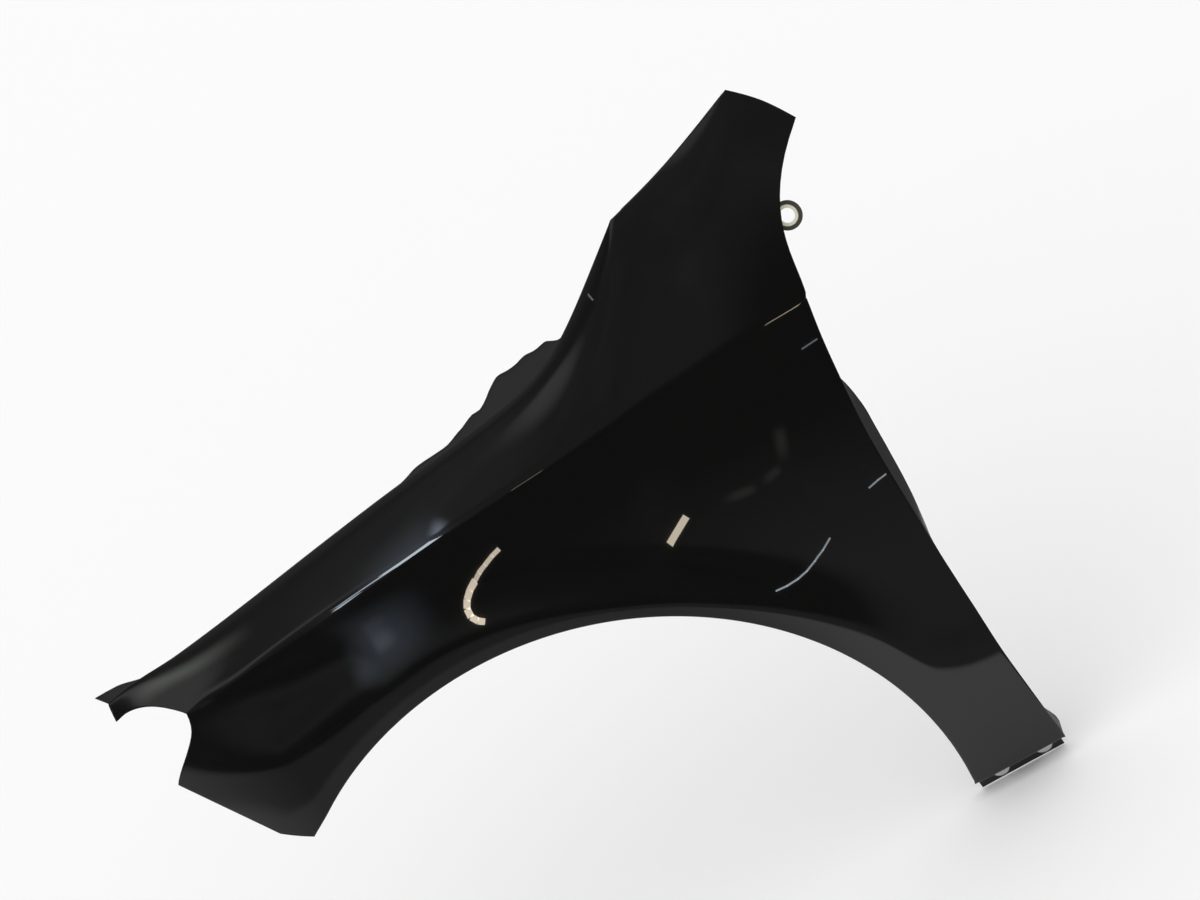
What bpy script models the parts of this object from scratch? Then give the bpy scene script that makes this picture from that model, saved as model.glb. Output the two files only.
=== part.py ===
"""Left front fender of a compact car: one pressing of 0.8 mm sheet steel.

X runs to the rear of the car, Y runs inboard and Z runs up. The skin is drawn about the
centre of the wheel arch and is moved at the end, so that the origin is the middle of the
inboard face of the sill tab. The skin is two blocks that meet along the crease: a side
block between the arch lip and the crease, and a shoulder block between the crease and the
bonnet edge. Every edge carries the flange that a pressing has there.
"""
import bmesh
import bpy
import numpy as np
from mathutils import Vector

MM = 0.001

# Overall sizes, which the outline tables are shares of
LENGTH = 930 * MM
DEPTH = 180 * MM
HEIGHT = 760 * MM

# The wheel arch and the flared band round it
ARCH_RADIUS = 345 * MM
ARCH_FRONT_DEGREES = 132.3
ARCH_REAR_DEGREES = -8.8
BAND_MIDDLE_DEGREES = 58
BAND_EVEN_DEGREES = 4
BAND_GROWTH_DEGREES = 34
BAND_WIDTH_CROWN = 16 * MM
BAND_WIDTH_LEGS = 33 * MM
BAND_ROLL = 2 * MM
SHOULDER_WIDTH = 60 * MM

# How far the side lies inboard of the flared band, and how it sweeps in towards the nose
SIDE_SET = 6 * MM
SIDE_LEAN = 28 * MM
LEAN_HEIGHT = 515 * MM
SWEEP = 60 * MM
SWEEP_START = 50 * MM
SWEEP_REACH = 336 * MM
SWEEP_POWER = 2.2
BAND_SWEEP_SHARE = 0.1

# The flare wraps round the front corner of the car, and the step above it ends at a foot that
# is level in front of the arch and drops behind it
CORNER_WRAP = 92 * MM
CORNER_START = -205 * MM
CORNER_REACH = 129 * MM
CORNER_POWER = 1.5
STEP_BEND_SHARE = 0.15
STEP_FOOT_DROP = 10 * MM
STEP_FOOT_REAR = 60 * MM
STEP_FOOT_START = 40 * MM
STEP_FOOT_RUN = 150 * MM
STEP_FOOT_HEIGHT = 70 * MM

# The shoulder between the crease and the bonnet edge
CROWN = 9 * MM
TAIL_WAIST = 24 * MM
TAIL_BULGE = 8 * MM
TAIL_POWER = 6
CROWN_POWER = 4
CROWN_PEAK_SHARE = 0.535
WAIST_POWER = 1.5
WAIST_PEAK_SHARE = 0.186

# The sheet and its flanges
SHEET = 0.8 * MM
ARCH_FLANGE = 20 * MM
HOOD_DROP = 12 * MM
HOOD_DROP_NOSE = 5 * MM
HOOD_LEDGE = 22 * MM
HOOD_SHELF = 61 * MM
HOOD_TIP = 18 * MM
LEDGE_FALL = 2 * MM
DOOR_FLANGE = 20 * MM
DOOR_LEAN = 6 * MM
DOOR_SWELL = 13 * MM
DOOR_LOBE = 8 * MM
TAIL_FLANGE = 13 * MM
TAIL_LEAN = 6 * MM
SCREEN_FLANGE = 14 * MM
FRONT_FLANGE = 12 * MM
LAMP_FLANGE = 10 * MM
SILL_JOGGLE = 23 * MM
SILL_TAB = 20 * MM
SILL_GAP_ROWS = 2

# Holes: the oversize bolt holes that let the panel be adjusted on the body
SILL_HOLE_RADIUS = 4.5 * MM
SILL_HOLE_PITCH = 48.5 * MM
SILL_HOLE_SETBACK = 25.5 * MM
SILL_HOLE_DROP = 9 * MM
EAR_RADIUS = 15 * MM
EAR_HOLE_RADIUS = 7.5 * MM
EAR_REACH = 10 * MM
EAR_THICKNESS = 1.6 * MM
EAR_HEIGHT_SHARE = 0.7737
HOOD_HOLE_RADIUS = 4.5 * MM
CUT_DEPTH = 14 * MM

# Front edge below the headlamp, from the chin up, as shares of LENGTH and HEIGHT
FRONT_SHARES = ((-0.2826, 0.3503), (-0.2948, 0.3665), (-0.3073, 0.3818), (-0.3200, 0.3963),
                (-0.3330, 0.4101), (-0.3461, 0.4232), (-0.3595, 0.4355))

# Notch edge beside the headlamp, bottom to top, as shares of LENGTH and HEIGHT
NOTCH_SHARES = (
    (-0.3595, 0.4355), (-0.3378, 0.4739), (-0.3155, 0.5054),
    (-0.3048, 0.5231), (-0.3019, 0.5346), (-0.3011, 0.5408),
)
# Crease, front to rear, as shares of LENGTH and HEIGHT
CREASE_SHARES = (
    (-0.3011, 0.5408), (-0.1839, 0.5829), (-0.0333, 0.6197), (0.1376, 0.6421),
    (0.3022, 0.6566), (0.4634, 0.6724), (0.5151, 0.6757),
)
# Door edge below the crease, top to bottom, as shares of LENGTH and HEIGHT
DOOR_SHARES = (
    (0.5151, 0.6757), (0.5054, 0.6171), (0.4978, 0.5579), (0.4892, 0.4842), (0.4839, 0.3974),
    (0.4806, 0.3158), (0.4774, 0.2118), (0.4755, 0.0900), (0.4762, 0.0000), (0.4767, -0.0700),
)
# Headlamp strip, tip to notch, as shares of LENGTH, DEPTH and HEIGHT
STRIP_SHARES = ((-0.3860, 0.8400, 0.5215), (-0.3699, 0.7944, 0.5329), (-0.3376, 0.6667, 0.5421))
# Places of the stations along the crease, as shares of LENGTH
STATION_SHARES = (-0.3011, -0.1839, -0.0333, 0.1075, 0.2000, 0.2581, 0.3118,
                  0.3925, 0.4570, 0.4871, 0.5151)
# Bonnet edge, windscreen edge and tail end at each station, as shares of LENGTH, DEPTH, HEIGHT
TOP_SHARES = (
    (-0.3849, 0.9722, 0.5332), (-0.3602, 0.9556, 0.5400), (-0.3226, 0.9389, 0.5487),
    (-0.2817, 0.9222, 0.5579), (-0.1613, 0.8833, 0.5885), (-0.0054, 0.8222, 0.6305),
    (0.1323, 0.7778, 0.6618), (0.2258, 0.7778, 0.6987), (0.3032, 0.8333, 0.7645),
    (0.3624, 0.8667, 0.8237), (0.4409, 0.8917, 0.8526), (0.5441, 0.8667, 0.9118),
    (0.5753, 0.7333, 0.8908), (0.6011, 0.5889, 0.8632),
)
NOTCH_STATION_NUMBER = 3
SCREEN_STATION_NUMBER = 9
TAIL_STATION_NUMBER = 11
# Rear shelf of the bonnet flange: place as a share of LENGTH, width as a share of HOOD_SHELF
SHELF_SHARES = (
    (0.015, 0.0), (0.027, 0.12), (0.038, 0.14), (0.065, 0.1), (0.078, 0.1), (0.086, 0.22),
    (0.101, 0.30), (0.105, 0.41), (0.113, 0.45), (0.123, 0.36), (0.128, 0.44), (0.132, 0.63),
    (0.141, 0.76), (0.146, 0.92), (0.152, 0.93), (0.165, 0.84), (0.178, 0.81), (0.188, 0.85),
    (0.203, 0.67), (0.221, 0.57), (0.233, 0.23), (0.244, 0.02), (0.255, 0.0),
)
# Swell and lower lobe of the door flange: height as a share of HEIGHT, width as a share
SWELL_SHARES = (
    (0.255, 0.0), (0.285, 0.35), (0.337, 0.75), (0.375, 0.90), (0.428, 1.0), (0.484, 1.0),
    (0.521, 0.6), (0.550, 0.0),
)
LOBE_SHARES = ((-0.074, 0.15), (-0.055, 1.0), (-0.045, 0.8), (-0.033, 0.0))
# Where the bonnet flange rises and widens at the nose, as shares of LENGTH
NOSE_START_SHARE = 0.335
NOSE_RUN_SHARE = 0.05
# Bolt holes in the bonnet flange, as shares of LENGTH
HOOD_HOLE_SHARES = (-0.345, -0.160)

# Mesh counts
NOTCH_COLUMNS = 5
CHIN_COLUMNS = 2
NOTCH_STEP_DEGREES = 2.5
BAND_FIT_SHARE = 0.8
FRONT_POINTS = 40
DISC_SIDES = 28
DOOR_COLUMNS = 34
BAND_ROWS = 2
STEP_ROWS = 5
BODY_ROWS = 5
SHOULDER_ROWS = 9
EDGE_CROWDING = 1.4
STATION_COLUMNS = (3, 3, 3, 8, 9, 9, 9, 6, 4, 4, 6, 3, 3)


def smoothstep(value):
    share = np.clip(value, 0.0, 1.0)
    return share * share * (3 - 2 * share)


def sudden_step(value):
    """Rises from 0 to 1, steepest at STEP_BEND_SHARE of the way, and ends level."""
    share = np.clip(value, 0.0, 1.0)
    past = 1 - (1 - share) ** 2 / (1 - STEP_BEND_SHARE)
    return np.where(share < STEP_BEND_SHARE, share ** 2 / STEP_BEND_SHARE, past)


def natural_spline(knots, points, places):
    """Natural cubic spline through points at knots, read at places."""
    knots = np.asarray(knots, float)
    points = np.asarray(points, float)
    count = len(knots)
    steps = np.diff(knots)
    matrix = np.eye(count)
    right = np.zeros_like(points)
    for row in range(1, count - 1):
        matrix[row, row - 1] = steps[row - 1]
        matrix[row, row] = 2 * (steps[row - 1] + steps[row])
        matrix[row, row + 1] = steps[row]
        rise = (points[row + 1] - points[row]) / steps[row]
        right[row] = 6 * (rise - (points[row] - points[row - 1]) / steps[row - 1])
    bends = np.linalg.solve(matrix, right)
    span = np.clip(np.searchsorted(knots, places, side="right") - 1, 0, count - 2)
    step = steps[span][:, None]
    after = ((places - knots[span])[:, None]) / step
    before = 1 - after
    curve = (before ** 3 - before) * bends[span] + (after ** 3 - after) * bends[span + 1]
    return before * points[span] + after * points[span + 1] + curve * step ** 2 / 6


def cornered_spline(knots, points, corners, places):
    """Splines that meet at the stations named in corners."""
    result = np.empty((len(places), points.shape[1]))
    ends = [0, *corners, len(knots) - 1]
    for first, last in zip(ends[:-1], ends[1:]):
        inside = (places >= knots[first]) & (places <= knots[last])
        part = natural_spline(knots[first:last + 1], points[first:last + 1], places[inside])
        result[inside] = part
    return result


def along(points, count):
    """Even points on the spline through points, by length of its chords."""
    lengths = np.linalg.norm(np.diff(points, axis=0), axis=1)
    knots = np.concatenate(([0.0], np.cumsum(lengths)))
    return natural_spline(knots, points, np.linspace(0.0, knots[-1], count))


def band_width(around):
    """Width of the flared band at an angle round the arch: narrow at its crown."""
    away = np.abs(around - BAND_MIDDLE_DEGREES)
    legs = smoothstep((away - BAND_EVEN_DEGREES) / BAND_GROWTH_DEGREES)
    return BAND_WIDTH_CROWN + (BAND_WIDTH_LEGS - BAND_WIDTH_CROWN) * legs


def side_depth(x, z):
    """How far inboard the side skin lies: a flat flared band that steps in to the body side.

    The step grows with the distance above the band and with the height above its foot.
    """
    above_lip = np.hypot(x, z) - ARCH_RADIUS
    band = band_width(np.degrees(np.arctan2(z, x)))
    sweep = SWEEP * np.maximum(0.0, (SWEEP_START - x) / SWEEP_REACH) ** SWEEP_POWER
    roll = BAND_ROLL * (1 - np.clip(above_lip / band, 0.0, 1.0)) ** 2
    wrap = CORNER_WRAP * (np.maximum(0.0, CORNER_START - x) / CORNER_REACH) ** CORNER_POWER
    flare = BAND_SWEEP_SHARE * sweep + roll + wrap
    body = SIDE_SET + SIDE_LEAN * (np.maximum(z, 0.0) / LEAN_HEIGHT) ** 2 + sweep
    forward = smoothstep((STEP_FOOT_START - x) / STEP_FOOT_RUN)
    foot = STEP_FOOT_REAR + (ARCH_RADIUS - STEP_FOOT_DROP - STEP_FOOT_REAR) * forward
    step = sudden_step((above_lip - band) / SHOULDER_WIDTH)
    step = step * smoothstep((z - foot) / STEP_FOOT_HEIGHT)
    return flare * (1 - step) + body * step


def on_side(plan):
    """Lifts points of the side view, x and z, onto the side skin."""
    return np.column_stack((plan[:, 0], side_depth(plan[:, 0], plan[:, 1]), plan[:, 1]))


def side_view(shares):
    return np.array(shares) * (LENGTH, HEIGHT)


def sized(shares):
    return np.array(shares) * (LENGTH, DEPTH, HEIGHT)


def crease_points(x):
    crease = side_view(CREASE_SHARES)
    height = natural_spline(crease[:, 0], crease[:, 1:], x)[:, 0]
    return on_side(np.column_stack((x, height)))


def stations():
    """Lower and upper end of each cross-section of the shoulder, and its place along it."""
    low = np.vstack((sized(STRIP_SHARES), crease_points(np.array(STATION_SHARES) * LENGTH)))
    high = sized(TOP_SHARES)
    low_steps = np.linalg.norm(np.diff(low, axis=0), axis=1)
    high_steps = np.linalg.norm(np.diff(high, axis=0), axis=1)
    knots = np.concatenate(([0.0], np.cumsum((low_steps + high_steps) / 2)))
    return knots, low, high


def station_places(knots):
    places = [knots[:1]]
    for first, last, count in zip(knots[:-1], knots[1:], STATION_COLUMNS):
        places.append(np.linspace(first, last, count + 1)[1:])
    return np.concatenate(places)


def shoulder_block():
    """Loft of arched sections from the strip and the crease up to the bonnet edge."""
    knots, low, high = stations()
    places = station_places(knots)
    bottom = cornered_spline(knots, low, (NOTCH_STATION_NUMBER,), places)
    top = cornered_spline(knots, high, (SCREEN_STATION_NUMBER, TAIL_STATION_NUMBER), places)
    rows = 1 - (1 - np.linspace(0.0, 1.0, SHOULDER_ROWS + 1)) ** EDGE_CROWDING
    t = rows[:, None, None]
    chord = top - bottom
    across = np.hypot(chord[:, 1], chord[:, 2])
    outward = np.column_stack((np.zeros(len(places)), -chord[:, 2], chord[:, 1]))
    outward = outward / across[:, None]
    arch = t * (1 - t ** CROWN_POWER) / CROWN_PEAK_SHARE
    tail = ((places - knots[0]) / (knots[-1] - knots[0])) ** TAIL_POWER
    waist = np.zeros((len(places), 3))
    waist[:, 0] = -TAIL_WAIST * tail
    bulge = np.zeros((len(places), 3))
    bulge[:, 1] = -TAIL_BULGE * tail
    crown = CROWN * (1 - tail)[:, None] * outward
    grid = bottom + t * chord + arch * crown
    grid = grid + t ** WAIST_POWER * (1 - t) / WAIST_PEAK_SHARE * waist
    grid = grid + 4 * t * (1 - t) * bulge
    return knots, places, grid


def lip_line(outer, chin):
    """Lower edge under each outer point: the chin, then the arch at evenly spread angles."""
    around = np.degrees(np.arctan2(outer[:, 1], outer[:, 0]))
    share = (around - around[NOTCH_COLUMNS]) / (around[-1] - around[NOTCH_COLUMNS])
    first = ARCH_FRONT_DEGREES - (NOTCH_COLUMNS - CHIN_COLUMNS) * NOTCH_STEP_DEGREES
    degrees = first + share * (ARCH_REAR_DEGREES - first)
    corner = np.arange(CHIN_COLUMNS, NOTCH_COLUMNS)
    degrees[corner] = ARCH_FRONT_DEGREES - (corner - CHIN_COLUMNS) * NOTCH_STEP_DEGREES
    angle = np.radians(degrees)
    lip = ARCH_RADIUS * np.column_stack((np.cos(angle), np.sin(angle)))
    for column in range(CHIN_COLUMNS):
        lip[column] = chin + (lip[CHIN_COLUMNS] - chin) * column / CHIN_COLUMNS
    return lip, degrees


def fan_rows(length, degrees):
    """Shares of each fan line at which its rows lie: on the band, up its step, then even."""
    band = band_width(degrees)
    inner = np.concatenate((np.linspace(0.0, 1.0, BAND_ROWS + 1), np.ones(STEP_ROWS)))
    outer = np.concatenate((np.zeros(BAND_ROWS + 1), np.arange(1, STEP_ROWS + 1) / STEP_ROWS))
    places = inner[:, None] * band + outer[:, None] * SHOULDER_WIDTH
    fit = np.minimum(1.0, BAND_FIT_SHARE * length / places[-1])
    near = places * fit / length
    rest = np.linspace(0.0, 1.0, BODY_ROWS + 1)[1:, None]
    return np.vstack((near, near[-1] + (1 - near[-1]) * rest))


def side_block(crease):
    """Fan of straight lines from the arch lip out to the notch, crease and door edges."""
    notch = along(side_view(NOTCH_SHARES), NOTCH_COLUMNS + 1)
    door = along(side_view(DOOR_SHARES), DOOR_COLUMNS + 1)
    front = side_view(FRONT_SHARES)
    outer = np.vstack((notch[:-1], crease[:, (0, 2)], door[1:]))
    lip, degrees = lip_line(outer, front[0])
    rows = fan_rows(np.linalg.norm(outer - lip, axis=1), degrees)
    grid = lip + rows[:, :, None] * (outer - lip)
    bow = along(front, FRONT_POINTS)
    shares = np.linspace(0.0, 1.0, FRONT_POINTS)
    for axis in range(2):
        edge = np.interp(rows[:, 0], shares, bow[:, axis]) - grid[:, 0, axis]
        for column in range(NOTCH_COLUMNS):
            grid[:, column, axis] += edge * (1 - column / NOTCH_COLUMNS) ** 2
    skin = np.array([on_side(row) for row in grid])
    skin[-1, NOTCH_COLUMNS:NOTCH_COLUMNS + len(crease)] = crease
    return skin


def flange(edge, *folds):
    """Rows of points that leave an edge by each fold in turn."""
    rows = [edge]
    for fold in folds:
        rows.append(rows[-1] + fold)
    return np.array(rows)


def turned(edge, x, y, z):
    """The same fold at every point of an edge; each size may vary along it."""
    fold = np.zeros_like(edge)
    fold[:, 0] = x
    fold[:, 1] = y
    fold[:, 2] = z
    return fold


def profile(places, table, place_unit, width):
    points = np.array(table)
    return np.interp(places, points[:, 0] * place_unit, points[:, 1] * width)


def hood_flange(edge):
    """Step down beside the bonnet, then a ledge that widens to a shelf at the rear."""
    x = edge[:, 0]
    nose = smoothstep((-x / LENGTH - NOSE_START_SHARE) / NOSE_RUN_SHARE)
    drop = HOOD_DROP + (HOOD_DROP_NOSE - HOOD_DROP) * nose
    width = HOOD_LEDGE + profile(x, SHELF_SHARES, LENGTH, HOOD_SHELF)
    width = width + HOOD_TIP / 2 * nose
    tip = np.zeros(len(x))
    tip[0] = -HOOD_TIP
    wall = turned(edge, 0.0, LEDGE_FALL, -drop)
    ledge = turned(edge, tip / 2, width / 2, -LEDGE_FALL / 2)
    return flange(edge, wall, ledge, ledge)


def door_flange(edge):
    """Return flange of the door edge, with the swell and the lobe that show past it."""
    z = edge[:, 2]
    swell = profile(z, SWELL_SHARES, HEIGHT, DOOR_SWELL) + profile(z, LOBE_SHARES, HEIGHT, DOOR_LOBE)
    return flange(edge, turned(edge, swell - DOOR_LEAN, DOOR_FLANGE, 0.0))


def sill_flange(edge):
    """Joggle inboard under the sill edge, then the flat tab that is bolted to the body."""
    wall = np.zeros_like(edge)
    wall[:, 1] = SILL_JOGGLE - edge[:, 1]
    tab = turned(edge, 0.0, 0.0, -SILL_TAB / 2)
    return flange(edge, wall, tab, tab)


def point_at(edge, axis, value):
    """Point of an edge where one coordinate has a value; that coordinate rises along it."""
    return np.array([np.interp(value, edge[:, axis], edge[:, k]) for k in range(3)])


def tail_inward(tail):
    """Direction square to the tail's edge and to the car's length, into the body."""
    rise = tail[-1] - tail[0]
    rise = rise / np.linalg.norm(rise)
    inward = np.cross(rise, (1.0, 0.0, 0.0))
    return inward / np.linalg.norm(inward)


def all_grids():
    """Skin blocks and flanges, about the arch centre."""
    knots, places, shoulder = shoulder_block()
    crease_from = int(np.searchsorted(places, knots[NOTCH_STATION_NUMBER] - SHEET))
    screen_from = int(np.searchsorted(places, knots[SCREEN_STATION_NUMBER] - SHEET))
    tail_from = int(np.searchsorted(places, knots[TAIL_STATION_NUMBER] - SHEET))
    side = side_block(shoulder[0, crease_from:])
    lip = side[0]
    door_from = side.shape[1] - DOOR_COLUMNS - 1
    hood = shoulder[-1, :screen_from]
    screen = shoulder[-1, screen_from + 1:tail_from]
    strip = shoulder[0, 1:crease_from]
    notch = side[-1, 1:NOTCH_COLUMNS]
    front = side[1:-1, 0]
    chin = lip[:CHIN_COLUMNS]
    arch = lip[CHIN_COLUMNS:-1]
    door = side[-1, door_from + 1:]
    tail = shoulder[1:-1, -1]
    inward = tail_inward(tail)
    sill = side[:-SILL_GAP_ROWS, -1]
    grids = [
        side,
        shoulder,
        flange(arch, turned(arch, 0.0, ARCH_FLANGE / 2, 0.0), turned(arch, 0.0, ARCH_FLANGE / 2, 0.0)),
        hood_flange(hood),
        flange(screen, turned(screen, LEDGE_FALL, SCREEN_FLANGE, -SCREEN_FLANGE / 2)),
        flange(strip, turned(strip, LEDGE_FALL, LAMP_FLANGE, -LEDGE_FALL)),
        flange(notch, turned(notch, LAMP_FLANGE / 2, LAMP_FLANGE, 0.0)),
        flange(front, turned(front, FRONT_FLANGE / 3, FRONT_FLANGE, 0.0)),
        flange(chin, turned(chin, FRONT_FLANGE / 3, FRONT_FLANGE, FRONT_FLANGE / 4)),
        door_flange(door),
        flange(tail, turned(tail, -TAIL_LEAN, *(TAIL_FLANGE * inward[1:]))),
        sill_flange(sill),
    ]
    return grids, hood, tail, side[:, -1]


def sheet_mesh(name, grids):
    """Joins the grids into one open sheet whose faces point outboard."""
    shape = bmesh.new()
    for grid in grids:
        rows, columns = grid.shape[:2]
        verts = [[shape.verts.new(point) for point in row] for row in grid]
        for i in range(rows - 1):
            for j in range(columns - 1):
                shape.faces.new((verts[i][j], verts[i][j + 1], verts[i + 1][j + 1], verts[i + 1][j]))
    bmesh.ops.remove_doubles(shape, verts=shape.verts, dist=SHEET / 16)
    bmesh.ops.recalc_face_normals(shape, faces=shape.faces)
    if sum(face.normal.y * face.calc_area() for face in shape.faces) > 0:
        bmesh.ops.reverse_faces(shape, faces=shape.faces)
    mesh = bpy.data.meshes.new(name)
    shape.to_mesh(mesh)
    shape.free()
    return mesh


def add_object(name, mesh, location=(0, 0, 0)):
    item = bpy.data.objects.new(name, mesh)
    item.location = location
    bpy.context.collection.objects.link(item)
    return item


def as_guide(item):
    item.hide_render = True
    item.display_type = "WIRE"
    return item


def disc(name, radius, thickness, centre, axis):
    """Round plate about a centre, with its axis along a direction."""
    shape = bmesh.new()
    turn = Vector(axis).to_track_quat("Z", "Y").to_matrix().to_4x4()
    bmesh.ops.create_cone(shape, cap_ends=True, segments=DISC_SIDES, radius1=radius,
                          radius2=radius, depth=thickness, matrix=turn)
    mesh = bpy.data.meshes.new(name)
    shape.to_mesh(mesh)
    shape.free()
    return as_guide(add_object(name, mesh, centre))


def add_boolean(panel, tool, operation):
    step = panel.modifiers.new(tool.name, "BOOLEAN")
    step.object = tool
    step.operation = operation
    step.solver = "EXACT"


def paint_material():
    material = bpy.data.materials.new("black_paint")
    material.use_nodes = True
    shader = material.node_tree.nodes["Principled BSDF"]
    shader.inputs["Base Color"].default_value = (0.006, 0.006, 0.007, 1)
    shader.inputs["Metallic"].default_value = 0.0
    shader.inputs["Roughness"].default_value = 0.25
    shader.inputs["Coat Weight"].default_value = 1.0
    return material


def sill_holes(sill):
    """Centres of the two bolt holes, below the sill edge, on the outboard face of the tab."""
    centres = []
    for place in (SILL_HOLE_SETBACK, SILL_HOLE_SETBACK + SILL_HOLE_PITCH):
        centre = point_at(sill, 0, sill[0, 0] + place)
        centres.append(np.array((centre[0], SILL_JOGGLE, centre[2] - SILL_HOLE_DROP)))
    return centres


def hood_holes(hood):
    centres = []
    for share in HOOD_HOLE_SHARES:
        edge = point_at(hood, 0, share * LENGTH)
        width = HOOD_LEDGE + profile(edge[:1], SHELF_SHARES, LENGTH, HOOD_SHELF)[0]
        centres.append(edge + (0.0, LEDGE_FALL + width / 2, -HOOD_DROP))
    return centres


def main():
    for item in list(bpy.data.objects):
        bpy.data.objects.remove(item)
    grids, hood, tail, sill = all_grids()
    sill_centres = sill_holes(sill)
    datum = (sill_centres[0] + sill_centres[1]) / 2 + (0.0, SHEET, 0.0)
    panel = add_object("fender_panel", sheet_mesh("fender_panel", [grid - datum for grid in grids]))
    panel.data.materials.append(paint_material())
    wall = panel.modifiers.new("sheet", "SOLIDIFY")
    wall.thickness = SHEET
    wall.offset = -1
    wall.use_even_offset = True

    inward = tail_inward(tail)
    ear_centre = point_at(tail, 2, EAR_HEIGHT_SHARE * HEIGHT) + inward * TAIL_FLANGE
    ear_centre = ear_centre + (EAR_REACH - TAIL_LEAN, 0.0, 0.0) - datum
    ear = disc("ear", EAR_RADIUS, EAR_THICKNESS, ear_centre, inward)
    add_boolean(panel, ear, "UNION")
    ear_hole = disc("ear_hole", EAR_HOLE_RADIUS, CUT_DEPTH, ear_centre, inward)
    add_boolean(panel, ear_hole, "DIFFERENCE")
    for number, centre in enumerate(sill_centres):
        hole = disc(f"sill_hole_{number}", SILL_HOLE_RADIUS, CUT_DEPTH, centre - datum, (0, 1, 0))
        add_boolean(panel, hole, "DIFFERENCE")
    for number, centre in enumerate(hood_holes(hood)):
        hole = disc(f"hood_hole_{number}", HOOD_HOLE_RADIUS, CUT_DEPTH, centre - datum, (0, 0, 1))
        add_boolean(panel, hole, "DIFFERENCE")


main()
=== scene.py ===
"""Looks of a left front car fender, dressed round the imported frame.

The panel is one pressing, so there is one piece. It is drawn about the centre of the wheel
arch, X to the rear, Y inboard and Z up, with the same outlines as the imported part, and is
moved once drawn, so that the origin is the middle of the inboard face of the sill tab.
"""

import bmesh
import bpy
import numpy as np
from mathutils import Matrix, Vector
from mathutils.bvhtree import BVHTree
from mathutils.interpolate import poly_3d_calc


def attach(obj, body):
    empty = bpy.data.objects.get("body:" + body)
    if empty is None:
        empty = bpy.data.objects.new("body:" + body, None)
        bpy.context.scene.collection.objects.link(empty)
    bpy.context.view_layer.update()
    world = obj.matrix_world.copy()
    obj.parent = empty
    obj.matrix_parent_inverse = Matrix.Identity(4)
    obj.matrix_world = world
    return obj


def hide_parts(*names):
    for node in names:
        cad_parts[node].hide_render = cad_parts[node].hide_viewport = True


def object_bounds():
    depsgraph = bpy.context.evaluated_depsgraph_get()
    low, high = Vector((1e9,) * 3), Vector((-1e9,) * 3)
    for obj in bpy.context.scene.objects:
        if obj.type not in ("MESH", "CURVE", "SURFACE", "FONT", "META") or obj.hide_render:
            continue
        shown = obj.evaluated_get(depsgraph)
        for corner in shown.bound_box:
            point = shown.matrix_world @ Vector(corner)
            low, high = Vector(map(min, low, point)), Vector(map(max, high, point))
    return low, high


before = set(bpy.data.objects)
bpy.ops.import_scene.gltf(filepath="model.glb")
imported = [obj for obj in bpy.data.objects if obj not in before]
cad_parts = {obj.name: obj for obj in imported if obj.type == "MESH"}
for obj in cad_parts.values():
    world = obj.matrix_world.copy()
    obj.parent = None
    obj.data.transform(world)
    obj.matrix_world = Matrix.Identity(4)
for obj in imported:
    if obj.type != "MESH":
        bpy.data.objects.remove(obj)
cad_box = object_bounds()

# ---- The side, below the crease ----------------------------------------------------------
# The large plain surface between the wheel arch and the crease, drawn in one stroke from
# 0.8 mm deep-drawing steel. A flat band is flared round the arch and steps in to the side.
MM = 0.001
LENGTH = 930 * MM
DEPTH = 180 * MM
HEIGHT = 760 * MM
SHEET = 0.8 * MM
ARCH_RADIUS = 345 * MM
ARCH_FRONT_DEGREES = 132.3
ARCH_REAR_DEGREES = -8.8
BAND_MIDDLE_DEGREES = 58
BAND_EVEN_DEGREES = 4
BAND_GROWTH_DEGREES = 34
BAND_WIDTH_CROWN = 16 * MM
BAND_WIDTH_LEGS = 33 * MM
BAND_ROLL = 2 * MM
SHOULDER_WIDTH = 60 * MM
SIDE_SET = 6 * MM
SIDE_LEAN = 28 * MM
LEAN_HEIGHT = 515 * MM
SWEEP = 60 * MM
SWEEP_START = 50 * MM
SWEEP_REACH = 336 * MM
SWEEP_POWER = 2.2
BAND_SWEEP_SHARE = 0.1
CORNER_WRAP = 92 * MM
CORNER_START = -205 * MM
CORNER_REACH = 129 * MM
CORNER_POWER = 1.5
STEP_BEND_SHARE = 0.15
STEP_FOOT_REAR = 60 * MM
STEP_FOOT_FRONT = 350 * MM
STEP_FOOT_START = 40 * MM
STEP_FOOT_RUN = 150 * MM
STEP_FOOT_HEIGHT = 70 * MM
CREASE_SHARES = (
    (-0.3011, 0.5408), (-0.1839, 0.5829), (-0.0333, 0.6197), (0.1376, 0.6421),
    (0.3022, 0.6566), (0.4634, 0.6724), (0.5151, 0.6757),
)


def smoothstep(value):
    """Rises from 0 to 1 as value does, level at both ends: 3v^2 - 2v^3."""
    share = np.clip(value, 0.0, 1.0)
    return share * share * (3 - 2 * share)


def sudden_step(value):
    """Rises from 0 to 1: its slope grows evenly over a first share, then falls evenly to
    none. Up to the share it is v^2 / share, and past it 1 - (1 - v)^2 / (1 - share)."""
    v = np.clip(value, 0.0, 1.0)
    past = 1 - (1 - v) ** 2 / (1 - STEP_BEND_SHARE)
    return np.where(v < STEP_BEND_SHARE, v ** 2 / STEP_BEND_SHARE, past)


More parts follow.
